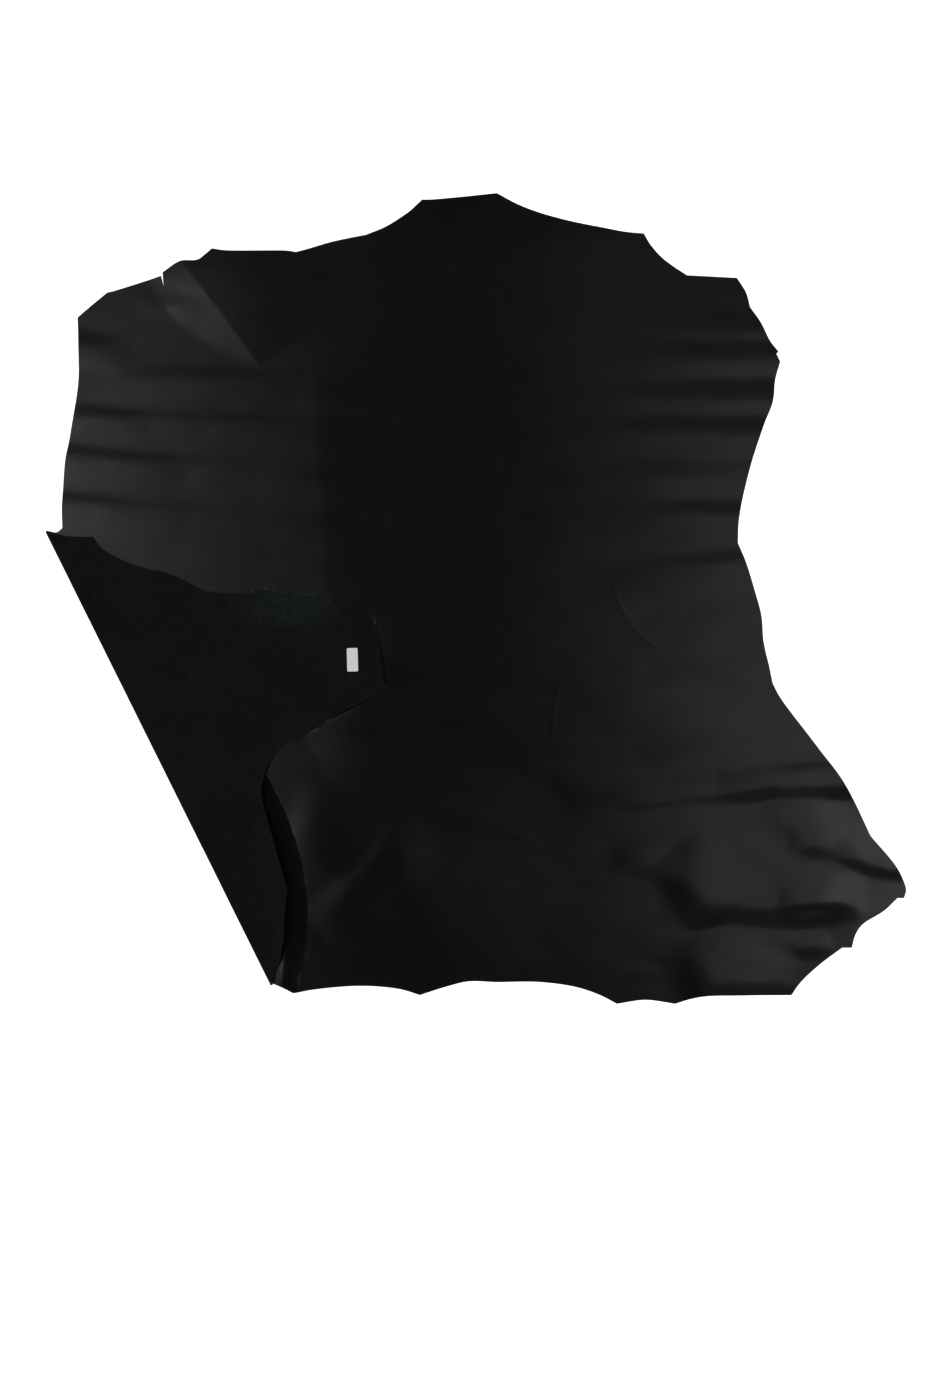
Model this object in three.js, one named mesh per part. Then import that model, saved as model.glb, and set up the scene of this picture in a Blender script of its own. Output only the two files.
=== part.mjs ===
// A whole black leather hide, lying grain side up with one hind leg turned over, so that its
// flesh side and a small blank paper label show. Millimetres, +Z up: X runs from belly to belly,
// Y towards the neck, and the surface that the hide lies on is z = 0.
import * as THREE from 'three';

// Driving dimensions.
const thickness = 1.5; // the hide, shaved to an even gauge
const bendRadius = 5.5; // of the sheet's middle, where the leg turns over
const layerGap = 1.0; // clear space between the turned leg and the hide under it
const settleLength = 90; // how far in from the bend the leg sinks to that space
const foldTop = [-983, 155]; // the two ends of the line that the leg turns over on
const foldBottom = [-466, -886];
const labelWidth = 25;
const labelLength = 54;
const labelThickness = 0.4;
const labelCorner = 3;
const labelTurn = 1.5; // degrees
const labelCentre = [-284, -141];
const pieceGap = 0.3; // between the label and the hide

// Sizes of the mesh.
const edgeStep = 25; // along the cut edge
const slitStep = 8; // along the slit's lips, which all but touch
const columnStep = 50; // across the hide
const finePitch = 20; // down a column, over ridges
const calmPitch = 90; // down a column, where the hide lies flat
const bendSteps = 5; // round the bend
const bendPitch = 36; // along the bend
const bendShift = 0.3; // of a row's distance from the fold, which keeps four points off one circle
const rowsBeforeBend = [-45, -18]; // out from the fold line
const rowsPastBend = [16, 38, 64, 92]; // on from the bend
const bendClear = 20; // from those rows to the columns' points
const edgeMargin = 11; // clear of the cut edge, for points inside it
const flatHide = { left: -1320, right: 990, bottom: -1000, top: 940 };
const turnedFine = 28; // down a column of the turned leg, over ridges
const turnedCalm = 54;
const faintRise = 0.05; // less than this counts as flat

// The cut edge as it lies, anticlockwise from the fold line's lower end to its upper end. A row is
// one bay of the edge, from the corner where a toggle stretched the wet hide to the next row's.
const lyingEdge = [
  { bay: 'butt, beside the fold', corner: foldBottom, through: [[-439, -897]] },
  { bay: 'butt, left', corner: [-419, -906], through: [[-370, -897], [-262, -889], [-175, -897]] },
  { bay: 'butt, left of the tail', corner: [-129, -911], through: [[-69, -892], [-18, -880]] },
  { bay: 'butt, right of the tail', corner: [47, -882], through: [[147, -882], [232, -894], [285, -912]] },
  { bay: 'butt, short bay', corner: [324, -932], through: [[389, -923]] },
  { bay: 'butt, right', corner: [458, -932], through: [[492, -921], [527, -914], [619, -912]] },
  { bay: 'hind leg, inner side', corner: [725, -912], through: [[745, -884], [791, -841]] },
  { bay: 'hind leg, tab', corner: [842, -803], through: [] },
  { bay: 'hind leg, shank', corner: [864, -803], through: [[872, -774], [888, -750], [938, -718]] },
  { bay: 'hind leg, end', corner: [969, -689], through: [] },
  { bay: 'hind leg, tip', corner: [984, -689], through: [[989, -670], [982, -647], [964, -614]] },
  {
    bay: 'hind leg, outer side',
    corner: [907, -546],
    through: [[890, -509], [869, -465], [837, -411], [761, -310], [699, -227]],
  },
  {
    bay: 'right flank',
    corner: [682, -195],
    through: [[674, -158], [661, -98], [656, -40], [639, 24], [618, 89]],
  },
  {
    bay: 'right belly',
    corner: [602, 128],
    through: [[604, 181], [630, 300], [660, 394], [682, 452], [688, 503]],
  },
  { bay: 'right nick, lower side', corner: [699, 544], through: [] },
  { bay: 'right nick, upper side', corner: [690, 562], through: [] },
  { bay: 'right fore leg, outer side', corner: [695, 567], through: [[676, 592], [653, 637]] },
  { bay: 'right fore leg, end', corner: [630, 670], through: [[621, 703]] },
  { bay: 'right fore leg, inner side', corner: [600, 737], through: [[542, 740]] },
  { bay: 'right shoulder', corner: [485, 743], through: [[446, 769], [423, 788], [400, 815]] },
  {
    bay: 'neck, right side',
    corner: [386, 839],
    through: [[343, 843], [285, 854], [216, 868], [147, 887], [97, 906]],
  },
  { bay: 'neck, end', corner: [48, 932], through: [[-37, 923], [-106, 917]] },
  { bay: 'neck, left side', corner: [-124, 917], through: [[-152, 891], [-179, 872], [-209, 854]] },
  { bay: 'left shoulder', corner: [-253, 836], through: [[-290, 829], [-336, 819], [-382, 805]] },
  { bay: 'left fore leg, inner side', corner: [-414, 796], through: [[-432, 799], [-578, 799]] },
  { bay: 'left fore leg, bay', corner: [-606, 803], through: [[-621, 790], [-639, 777], [-679, 774]] },
  { bay: 'slit, right lip', corner: [-720, 749], through: [], step: slitStep },
  { bay: 'slit, left lip', corner: [-711, 648], through: [], step: slitStep },
  { bay: 'left fore leg, end', corner: [-724, 741], through: [[-835, 706]] },
  { bay: 'left fore leg, tip', corner: [-848, 703], through: [[-876, 680]] },
  {
    bay: 'left belly',
    corner: [-916, 646],
    through: [[-914, 583], [-914, 502], [-923, 434], [-934, 369], [-944, 314], [-951, 215]],
  },
  { bay: 'left belly, hook', corner: [-951, 162], through: [[-964, 152]] },
];

// The turned-over leg's cut edge as it lies on the hide, on from the fold line's upper end.
const turnedEdge = [
  { bay: 'turned leg, hook', corner: foldTop, through: [[-948, 144]] },
  { bay: 'turned leg, outer side', corner: [-880, 141], through: [[-870, 127], [-857, 113], [-796, 81]] },
  {
    bay: 'turned leg, middle of its side',
    corner: [-750, 67],
    through: [[-720, 61], [-681, 47], [-635, 23], [-600, 14]],
  },
  { bay: 'turned leg, frayed bay', corner: [-529, 12], through: [[-490, 23], [-451, 17], [-393, 10]] },
  { bay: 'turned leg, shank', corner: [-354, 5], through: [[-334, -12], [-301, -31]] },
  { bay: 'turned leg, end', corner: [-238, -46], through: [[-227, -82], [-221, -118], [-220, -151]] },
  { bay: 'turned leg, inner side', corner: [-208, -202], through: [[-251, -231], [-313, -264], [-359, -288]] },
  { bay: 'turned leg, inner bay', corner: [-398, -319], through: [[-437, -334], [-465, -361], [-483, -399]] },
  { bay: 'turned leg, raised edge', corner: [-494, -440], through: [[-485, -482], [-469, -537], [-453, -595]] },
  { bay: 'turned leg, low edge', corner: [-431, -666], through: [[-438, -721], [-440, -767], [-447, -815]] },
  { bay: 'turned leg, last bay', corner: [-451, -835], through: [[-463, -861]] },
];

// Ridges that the stretching left, highest at their centre. A row gives the crest's centre and turn
// in degrees, its reach either way along the crest, and its reach down each flank. A crisp side
// runs straight down from the crest, and a bow is how far a crest bends aside towards its ends.
const hideRidges = [
  { spot: 'fore leg, upper', x: 630, y: 618, turn: 0, reach: 330, far: 48, near: 38, height: 2 },
  { spot: 'fore leg, middle', x: 653, y: 551, turn: 0, reach: 480, far: 52, near: 52, height: 3.2 },
  { spot: 'fore leg, lower', x: 515, y: 457, turn: 0, reach: 520, far: 50, near: 38, height: 2.4 },
  { spot: 'belly, upper', x: 446, y: 378, turn: 0, reach: 440, far: 50, near: 64, height: 3.4 },
  { spot: 'belly, middle', x: 377, y: 270, turn: 0, reach: 250, far: 76, near: 40, height: 2.6 },
  { spot: 'belly, lower', x: 492, y: 185, turn: 0, reach: 400, far: 48, near: 80, height: 4.2 },
  { spot: 'waist', x: 527, y: 70, turn: 6.5, reach: 280, far: 46, near: 90, height: 4 },
  { spot: 'waist, lower', x: 642, y: -29, turn: 0, reach: 150, far: 40, near: 60, height: 1.3 },
  { spot: 'flank, upper', x: 619, y: -164, turn: 0, reach: 210, far: 44, near: 50, height: 2.8 },
  { spot: 'flank, middle', x: 331, y: -229, turn: 0, reach: 160, far: 50, near: 40, height: 1.2 },
  { spot: 'flank, lower', x: 377, y: -282, turn: 0, reach: 290, far: 70, near: 46, height: 2.4 },
  { spot: 'thigh, upper', x: 630, y: -339, turn: 6, reach: 260, far: 60, near: 42, height: 3.2 },
  { spot: 'thigh, middle', x: 883, y: -408, turn: 1, reach: 330, far: 54, near: 70, height: 7.2 },
  { spot: 'thigh, inner', x: 492, y: -440, turn: 5, reach: 300, far: 44, near: 54, height: 4 },
  { spot: 'thigh, inner end', x: 308, y: -440, turn: 0, reach: 140, far: 60, near: 40, height: 1.4 },
  { spot: 'thigh, faint', x: 584, y: -574, turn: 0, reach: 130, far: 50, near: 40, height: 1.2 },
  { spot: 'shank, dimple', x: 741, y: -519, turn: -45, reach: 90, far: 130, near: 80, height: 3 },
  { spot: 'shank, upper', x: 814, y: -565, turn: -8, reach: 100, far: 90, near: 56, height: 3.2 },
  { spot: 'shank, tip', x: 938, y: -611, turn: -10, reach: 110, far: 70, near: 40, height: 3.4 },
  { spot: 'shank, lower', x: 665, y: -707, turn: 2, reach: 240, far: 90, near: 60, height: 4.2 },
  { spot: 'shank, outer', x: 791, y: -693, turn: 2, reach: 100, far: 90, near: 60, height: 5.5 },
  { spot: 'rump', x: 506, y: -666, turn: -52, reach: 100, far: 130, near: 84, height: 5 },
  { spot: 'rump, inner', x: 389, y: -611, turn: -8, reach: 80, far: 60, near: 46, height: 1.8 },
  { spot: 'butt, right', x: 547, y: -887, turn: -71, reach: 125, far: 220, near: 104, height: 7.5 },
  { spot: 'hind leg, inner side', x: 773, y: -799, turn: 15, reach: 50, far: 40, near: 36, height: 1.6 },
  { spot: 'left fore leg, tip', x: -920, y: 581, turn: -8, reach: 130, far: 46, near: 60, height: 3 },
  { spot: 'left fore leg, lower', x: -547, y: 491, turn: -1, reach: 320, far: 52, near: 60, height: 3.4 },
  { spot: 'left belly, upper', x: -842, y: 408, turn: -3, reach: 220, far: 42, near: 60, height: 2.8 },
  { spot: 'left belly, top', x: -531, y: 392, turn: -1, reach: 220, far: 46, near: 60, height: 3.6 },
  { spot: 'left belly, middle', x: -888, y: 316, turn: -5, reach: 220, far: 46, near: 60, height: 3.6 },
  { spot: 'left belly, inner', x: -577, y: 296, turn: -2, reach: 280, far: 44, near: 60, height: 3.6 },
  { spot: 'left belly, lower', x: -934, y: 210, turn: -4, reach: 270, far: 46, near: 70, height: 4.8 },
  { spot: 'left belly, low', x: -589, y: 185, turn: -2, reach: 290, far: 44, near: 60, height: 3.4 },
  { spot: 'left belly, last', x: -520, y: 98, turn: 0, reach: 180, far: 44, near: 60, height: 1.5 },
  {
    spot: 'edge of the middle',
    x: -356,
    y: 227,
    turn: -87,
    reach: 320,
    far: 150,
    near: 150,
    height: 2.6,
    crisp: 'near',
  },
  { spot: 'across the slit', x: -708, y: 666, turn: 0, reach: 80, far: 40, near: 40, height: 1.2 },
  {
    spot: 'beside the slit',
    x: -637,
    y: 723,
    turn: -52,
    reach: 240,
    far: 320,
    near: 96,
    height: 9.4,
    crisp: 'near',
    bow: 6,
  },
  {
    spot: 'side of the gap',
    x: -392,
    y: -640,
    turn: 99,
    reach: 300,
    far: 56,
    near: 560,
    height: 20,
    crisp: 'far',
    bow: -80,
  },
  { spot: 'beside the gap', x: -379, y: -526, turn: 72, reach: 110, far: 72, near: 170, height: 4.6 },
  { spot: 'streak, lower', x: -294, y: -684, turn: 37, reach: 100, far: 60, near: 140, height: 4.6 },
  { spot: 'streak, upper', x: -198, y: -574, turn: 58, reach: 100, far: 60, near: 140, height: 3.8 },
  { spot: 'fold, last corner', x: -432, y: -889, turn: 90, reach: 60, far: 50, near: 50, height: 3 },
];
const turnedRidges = [
  { spot: 'raised edge', x: -468, y: -560, turn: -78, reach: 330, far: 70, near: 70, height: 20 },
  { spot: 'low edge', x: -450, y: -780, turn: 90, reach: 150, far: 60, near: 60, height: 16 },
  { spot: 'inner side', x: -300, y: -240, turn: 27, reach: 150, far: 40, near: 50, height: 3 },
];

const foldWay = new THREE.Vector2(foldBottom[0] - foldTop[0], foldBottom[1] - foldTop[1]).normalize();
const outWay = new THREE.Vector2(foldWay.y, -foldWay.x); // out over the fold line, level
const bendLength = Math.PI * bendRadius;
const radians = THREE.MathUtils.degToRad;

// Distances of a level point along the fold line and out past it.
function fromFold(x, y) {
  const level = new THREE.Vector2(x - foldTop[0], y - foldTop[1]);
  return { along: level.dot(foldWay), out: level.dot(outWay) };
}

function besideFold(along, out) {
  return [
    foldTop[0] + along * foldWay.x + out * outWay.x,
    foldTop[1] + along * foldWay.y + out * outWay.y,
  ];
}

// A point of the turned-over leg, moved to where it was in the flat hide.
function unfold([x, y]) {
  const { along, out } = fromFold(x, y);
  return besideFold(along, bendLength - out);
}

// Spreads points evenly along one bay of an edge, without the bay's last corner.
function followBay(points, step) {
  const curve = new THREE.CatmullRomCurve3(
    points.map(([x, y]) => new THREE.Vector3(x, y, 0)),
    false,
    'centripetal',
  );
  const steps = Math.max(1, Math.round(curve.getLength() / step));
  return curve.getSpacedPoints(steps).slice(0, -1).map(({ x, y }) => [x, y]);
}

function followEdge(bays, end) {
  return bays.flatMap(({ corner, through, step = edgeStep }, index) => {
    const next = bays[index + 1]?.corner ?? end;
    return followBay([corner, ...through, next], step);
  });
}

// Places of the rows that cross the bend, as distances out past the fold line in the flat hide.
function bendRows() {
  const rows = [];
  for (let step = 0; step <= bendSteps; step += 1) {
    rows.push((bendLength * step) / bendSteps);
  }
  return rows;
}

// The straight run of the cut edge over the bend, at one end of the fold line.
function crossBend(along) {
  return bendRows().map((out) => besideFold(along, out));
}

// The whole cut edge in the flat hide, anticlockwise.
function flatEdge() {
  const foldLength = fromFold(...foldBottom).along;
  const lying = followEdge(lyingEdge, foldTop).slice(1);
  const turned = followEdge(turnedEdge, foldBottom).slice(1).map(unfold);
  return [...lying, ...crossBend(0), ...turned, ...crossBend(foldLength).reverse()];
}

function insideEdge(edge, x, y) {
  let inside = false;
  for (let i = 0, j = edge.length - 1; i < edge.length; j = i, i += 1) {
    const [ax, ay] = edge[i];
    const [bx, by] = edge[j];
    if (ay > y !== by > y && x < ((bx - ax) * (y - ay)) / (by - ay) + ax) {
      inside = !inside;
    }
  }
  return inside;
}

function distanceToEdge(edge, x, y) {
  const spot = new THREE.Vector3(x, y, 0);
  const foot = new THREE.Vector3();
  return Math.min(...edge.map(([ax, ay], index) => {
    const [bx, by] = edge[(index + 1) % edge.length];
    const side = new THREE.Line3(new THREE.Vector3(ax, ay, 0), new THREE.Vector3(bx, by, 0));
    return side.closestPointToPoint(spot, true, foot).distanceTo(spot);
  }));
}

// How high one ridge stands at a level point, nothing at all past its reach.
function ridgeHeight(ridge, x, y) {
  const turn = radians(ridge.turn);
  const along = ((x - ridge.x) * Math.cos(turn) + (y - ridge.y) * Math.sin(turn)) / ridge.reach;
  const level = (y - ridge.y) * Math.cos(turn) - (x - ridge.x) * Math.sin(turn);
  const across = level + (ridge.bow ?? 0) * along ** 2;
  const side = across > 0 ? 'far' : 'near';
  const down = Math.abs(across) / ridge[side];
  if (Math.abs(along) >= 1 || down >= 1) {
    return 0;
  }
  const fall = Math.cos((along * Math.PI) / 2);
  if (ridge.crisp === side) {
    return ridge.height * Math.max(0, fall - down);
  }
  return ridge.height * fall * Math.cos((down * Math.PI) / 2) ** 2;
}

function relief(ridges, x, y) {
  return ridges.reduce((sum, ridge) => sum + ridgeHeight(ridge, x, y), 0);
}

// Where a point of the flat hide's middle surface comes to lie.
function lie(x, y) {
  const { along, out } = fromFold(x, y);
  if (out <= 0) {
    return new THREE.Vector3(x, y, thickness / 2 + relief(hideRidges, x, y));
  }
  const turned = Math.min(out / bendRadius, Math.PI);
  const back = Math.max(out - bendLength, 0);
  const [lyingX, lyingY] = besideFold(along, bendRadius * Math.sin(turned) - back);
  const sinking = 2 * bendRadius - thickness - layerGap;
  let height = thickness / 2 + relief(hideRidges, lyingX, lyingY);
  height += bendRadius * (1 - Math.cos(turned));
  height -= sinking * THREE.MathUtils.smoothstep(back, 0, settleLength);
  if (back > 0) {
    height += relief(turnedRidges, lyingX, lyingY) * THREE.MathUtils.smoothstep(back, 0, settleLength);
  }
  return new THREE.Vector3(lyingX, lyingY, height);
}

// The grain side's outward direction at a point of the flat hide.
function grainWay(x, y) {
  const nudge = 0.5;
  const eastward = lie(x + nudge, y).sub(lie(x - nudge, y));
  const northward = lie(x, y + nudge).sub(lie(x, y - nudge));
  return eastward.cross(northward).normalize();
}

// Points inside the edge along the bend, in rows that settle into the flat hide on both sides.
function bendPoints() {
  const foldLength = fromFold(...foldBottom).along;
  const pastRows = rowsPastBend.map((out) => bendLength + out);
  const points = [];
  for (const out of [...rowsBeforeBend, ...bendRows(), ...pastRows]) {
    for (let along = bendPitch / 2 + out * bendShift; along < foldLength; along += bendPitch) {
      points.push(besideFold(along, out));
    }
  }
  return points;
}

// Points inside the edge in staggered columns, close together where a ridge rises.
function columnPoints() {
  const first = rowsBeforeBend[0] - bendClear;
  const last = bendLength + rowsPastBend.at(-1) + bendClear;
  const points = [];
  let column = 0;
  for (let x = flatHide.left; x < flatHide.right; x += columnStep) {
    let y = flatHide.bottom + (column % 2) * (finePitch / 2);
    while (y < flatHide.top) {
      const { out } = fromFold(x, y);
      if (out < first || out > last) {
        points.push([x, y]);
      }
      y += pitchAt(x, y);
    }
    column += 1;
  }
  return points;
}

function pitchAt(x, y) {
  const spot = lie(x, y);
  const turned = fromFold(x, y).out > 0;
  const ahead = [0, finePitch, 2 * finePitch].some((step) => relief(hideRidges, x, y + step) > faintRise);
  const raised = relief(turned ? turnedRidges : hideRidges, spot.x, spot.y) > faintRise;
  if (turned) {
    return raised ? turnedFine : turnedCalm;
  }
  return raised || ahead ? finePitch : calmPitch;
}

// The circle through three points, kept with their places in the list.
function roundTriangle(points, a, b, c) {
  const triangle = new THREE.Triangle(
    new THREE.Vector3(...points[a], 0),
    new THREE.Vector3(...points[b], 0),
    new THREE.Vector3(...points[c], 0),
  );
  const [bx, by] = [triangle.b.x - triangle.a.x, triangle.b.y - triangle.a.y];
  const [cx, cy] = [triangle.c.x - triangle.a.x, triangle.c.y - triangle.a.y];
  const twice = 2 * (bx * cy - by * cx);
  const x = (cy * (bx * bx + by * by) - by * (cx * cx + cy * cy)) / twice;
  const y = (bx * (cx * cx + cy * cy) - cx * (bx * bx + by * by)) / twice;
  return { corners: [a, b, c], x: x + triangle.a.x, y: y + triangle.a.y, square: x * x + y * y };
}

// Delaunay triangles of level points, added one at a time (Bowyer and Watson's way).
function delaunay(points) {
  const far = 1e5;
  const all = [...points, [-far, -far], [far, -far], [0, far]];
  const first = points.length;
  let triangles = [roundTriangle(all, first, first + 1, first + 2)];
  points.forEach(([x, y], added) => {
    const rim = new Map();
    const kept = [];
    for (const triangle of triangles) {
      if ((x - triangle.x) ** 2 + (y - triangle.y) ** 2 > triangle.square) {
        kept.push(triangle);
        continue;
      }
      triangle.corners.forEach((from, index) => {
        const to = triangle.corners[(index + 1) % 3];
        if (!rim.delete(`${to} ${from}`)) {
          rim.set(`${from} ${to}`, [from, to]);
        }
      });
    }
    triangles = kept;
    for (const [from, to] of rim.values()) {
      triangles.push(roundTriangle(all, from, to, added));
    }
  });
  return triangles.map(({ corners }) => corners).filter((corners) => Math.max(...corners) < first);
}

// Triangles of the flat hide, over points that start with the cut edge's own.
function cutFlat() {
  const edge = flatEdge();
  const inner = [...bendPoints(), ...columnPoints()].filter(
    ([x, y]) => insideEdge(edge, x, y) && distanceToEdge(edge, x, y) > edgeMargin,
  );
  const points = [...edge, ...inner];
  const triangles = delaunay(points).filter((corners) => {
    const x = corners.reduce((sum, corner) => sum + points[corner][0], 0) / 3;
    const y = corners.reduce((sum, corner) => sum + points[corner][1], 0) / 3;
    return insideEdge(edge, x, y);
  });
  return { points, triangles, edgeCount: edge.length };
}

// The hide as one closed solid: grain side, flesh side and the cut edge between them.
function hideGeometry() {
  const { points, triangles, edgeCount } = cutFlat();
  const count = points.length;
  const position = new Float32Array(count * 6);
  points.forEach(([x, y], index) => {
    const middle = lie(x, y);
    const half = grainWay(x, y).multiplyScalar(thickness / 2);
    middle.clone().add(half).toArray(position, index * 3);
    middle.clone().sub(half).toArray(position, (count + index) * 3);
  });
  const faces = triangles.flatMap(([a, b, c]) => [a, b, c, count + a, count + c, count + b]);
  for (let here = 0; here < edgeCount; here += 1) {
    const next = (here + 1) % edgeCount;
    faces.push(here, count + here, next, next, count + here, count + next);
  }
  const geometry = new THREE.BufferGeometry();
  geometry.setAttribute('position', new THREE.BufferAttribute(position, 3));
  geometry.setIndex(faces);
  geometry.computeVertexNormals();
  return geometry;
}

function hide() {
  const leather = new THREE.MeshStandardMaterial({ color: '#17191a', roughness: 0.45, metalness: 0 });
  const mesh = new THREE.Mesh(hideGeometry(), leather);
  mesh.name = 'hide';
  return mesh;
}

// A slip of paper with round corners, on the flesh side of the turned leg.
function labelShape() {
  const [w, h, r] = [labelWidth / 2, labelLength / 2, labelCorner];
  const shape = new THREE.Shape();
  shape.moveTo(w, r - h);
  shape.lineTo(w, h - r);
  shape.absarc(w - r, h - r, r, 0, Math.PI / 2, false);
  shape.absarc(r - w, h - r, r, Math.PI / 2, Math.PI, false);
  shape.absarc(r - w, r - h, r, Math.PI, Math.PI * 1.5, false);
  shape.absarc(w - r, r - h, r, Math.PI * 1.5, Math.PI * 2, false);
  return shape;
}

function label() {
  const paper = new THREE.MeshStandardMaterial({ color: '#e4e5e8', roughness: 0.8, metalness: 0 });
  const geometry = new THREE.ExtrudeGeometry(labelShape(), {
    depth: labelThickness,
    bevelEnabled: false,
    curveSegments: 4,
  });
  const mesh = new THREE.Mesh(geometry, paper);
  mesh.name = 'paper_label';
  mesh.position.set(...labelCentre, 2 * thickness + layerGap + pieceGap);
  mesh.rotation.z = radians(labelTurn);
  return mesh;
}

const leatherHide = new THREE.Group();
leatherHide.add(hide(), label());

export default leatherHide;
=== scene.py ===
# A black leather hide, lying grain side up with one hind leg turned over to its flesh side.
import math
import random

import bmesh
import bpy
from mathutils import Matrix, Vector, noise
from mathutils.geometry import interpolate_bezier


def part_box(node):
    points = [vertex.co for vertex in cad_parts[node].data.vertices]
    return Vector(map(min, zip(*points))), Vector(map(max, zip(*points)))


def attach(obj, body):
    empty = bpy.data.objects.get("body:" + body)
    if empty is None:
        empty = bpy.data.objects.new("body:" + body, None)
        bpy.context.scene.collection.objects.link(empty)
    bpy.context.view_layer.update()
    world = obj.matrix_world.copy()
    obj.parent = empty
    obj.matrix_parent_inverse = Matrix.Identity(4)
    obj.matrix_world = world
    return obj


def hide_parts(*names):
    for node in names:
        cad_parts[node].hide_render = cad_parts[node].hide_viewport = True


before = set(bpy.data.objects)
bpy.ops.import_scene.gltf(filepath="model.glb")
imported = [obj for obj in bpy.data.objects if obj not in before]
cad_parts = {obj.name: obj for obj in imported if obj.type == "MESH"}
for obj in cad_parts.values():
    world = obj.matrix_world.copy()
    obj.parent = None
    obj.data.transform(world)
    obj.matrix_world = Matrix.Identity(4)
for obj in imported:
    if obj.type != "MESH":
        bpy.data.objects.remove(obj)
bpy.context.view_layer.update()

scene = bpy.context.scene
mm = 0.001

# The cut edge, in millimetres. A row is one bay: the corner where a toggle pulled the wet hide,
# then points on the way to the next corner.

foldLine = {"top": (-983, 155), "bottom": (-466, -886)}

lyingEdge = [  # as it lies, anticlockwise from the fold line's lower end
    {"bay": "butt, beside the fold", "corner": foldLine["bottom"], "through": [(-439, -897)]},
    {"bay": "butt, left", "corner": (-419, -906), "through": [(-370, -897), (-262, -889), (-175, -897)]},
    {"bay": "butt, left of the tail", "corner": (-129, -911), "through": [(-69, -892), (-18, -880)]},
    {"bay": "butt, right of the tail", "corner": (47, -882),
     "through": [(147, -882), (232, -894), (285, -912)]},
    {"bay": "butt, short bay", "corner": (324, -932), "through": [(389, -923)]},
    {"bay": "butt, right", "corner": (458, -932), "through": [(492, -921), (527, -914), (619, -912)]},
    {"bay": "hind leg, inner side", "corner": (725, -912), "through": [(745, -884), (791, -841)]},
    {"bay": "hind leg, tab", "corner": (842, -803), "through": []},
    {"bay": "hind leg, shank", "corner": (864, -803), "through": [(872, -774), (888, -750), (938, -718)]},
    {"bay": "hind leg, end", "corner": (969, -689), "through": []},
    {"bay": "hind leg, tip", "corner": (984, -689), "through": [(989, -670), (982, -647), (964, -614)]},
    {"bay": "hind leg, outer side", "corner": (907, -546),
     "through": [(890, -509), (869, -465), (837, -411), (761, -310), (699, -227)]},
    {"bay": "right flank", "corner": (682, -195),
     "through": [(674, -158), (661, -98), (656, -40), (639, 24), (618, 89)]},
    {"bay": "right belly", "corner": (602, 128),
     "through": [(604, 181), (630, 300), (660, 394), (682, 452), (688, 503)]},
    {"bay": "right nick, lower side", "corner": (699, 544), "through": []},
    {"bay": "right nick, upper side", "corner": (690, 562), "through": []},
    {"bay": "right fore leg, outer side", "corner": (695, 567), "through": [(676, 592), (653, 637)]},
    {"bay": "right fore leg, end", "corner": (630, 670), "through": [(621, 703)]},
    {"bay": "right fore leg, inner side", "corner": (600, 737), "through": [(542, 740)]},
    {"bay": "right shoulder", "corner": (485, 743), "through": [(446, 769), (423, 788), (400, 815)]},
    {"bay": "neck, right side", "corner": (386, 839),
     "through": [(343, 843), (285, 854), (216, 868), (147, 887), (97, 906)]},
    {"bay": "neck, end", "corner": (48, 932), "through": [(-37, 923), (-106, 917)]},
    {"bay": "neck, left side", "corner": (-124, 917), "through": [(-152, 891), (-179, 872), (-209, 854)]},
    {"bay": "left shoulder", "corner": (-253, 836), "through": [(-290, 829), (-336, 819), (-382, 805)]},
    {"bay": "left fore leg, inner side", "corner": (-414, 796), "through": [(-432, 799), (-578, 799)]},
    {"bay": "left fore leg, bay", "corner": (-606, 803), "through": [(-621, 790), (-639, 777), (-679, 774)]},
    {"bay": "slit, right lip", "corner": (-720, 749), "through": [(-717.6, 718), (-714.9, 690)]},
    {"bay": "slit, left lip", "corner": (-711, 648), "through": [(-715.2, 690), (-718, 718)]},
    {"bay": "left fore leg, end", "corner": (-724, 741), "through": [(-835, 706)]},
    {"bay": "left fore leg, tip", "corner": (-848, 703), "through": [(-876, 680)]},
    {"bay": "left belly", "corner": (-916, 646),
     "through": [(-914, 583), (-914, 502), (-923, 434), (-934, 369), (-944, 314), (-951, 215)]},
    {"bay": "left belly, hook", "corner": (-951, 162), "through": [(-964, 152)]},
]

turnedEdge = [  # the turned leg's edge as it lies on the hide, on from the fold line's upper end
    {"bay": "turned leg, hook", "corner": foldLine["top"], "through": [(-948, 144)]},
    {"bay": "turned leg, outer side", "corner": (-880, 141),
     "through": [(-870, 127), (-857, 113), (-796, 81)]},
    {"bay": "turned leg, middle of its side", "corner": (-750, 67),
     "through": [(-720, 61), (-681, 47), (-635, 23), (-600, 14)]},
    {"bay": "turned leg, frayed bay", "corner": (-529, 12), "through": [(-490, 23), (-451, 17), (-393, 10)]},
    {"bay": "turned leg, shank", "corner": (-354, 5), "through": [(-334, -12), (-301, -31)]},
    {"bay": "turned leg, end", "corner": (-238, -46), "through": [(-227, -82), (-221, -118), (-220, -151)]},
    {"bay": "turned leg, inner side", "corner": (-208, -202),
     "through": [(-251, -231), (-313, -264), (-359, -288)]},
    {"bay": "turned leg, inner bay", "corner": (-398, -319),
     "through": [(-437, -334), (-465, -361), (-483, -399)]},
    {"bay": "turned leg, raised edge", "corner": (-494, -440),
     "through": [(-485, -482), (-469, -537), (-453, -595)]},
    {"bay": "turned leg, low edge", "corner": (-431, -666),
     "through": [(-438, -721), (-440, -767), (-447, -815)]},
    {"bay": "turned leg, last bay", "corner": (-451, -835), "through": [(-463, -861)]},
]

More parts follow.
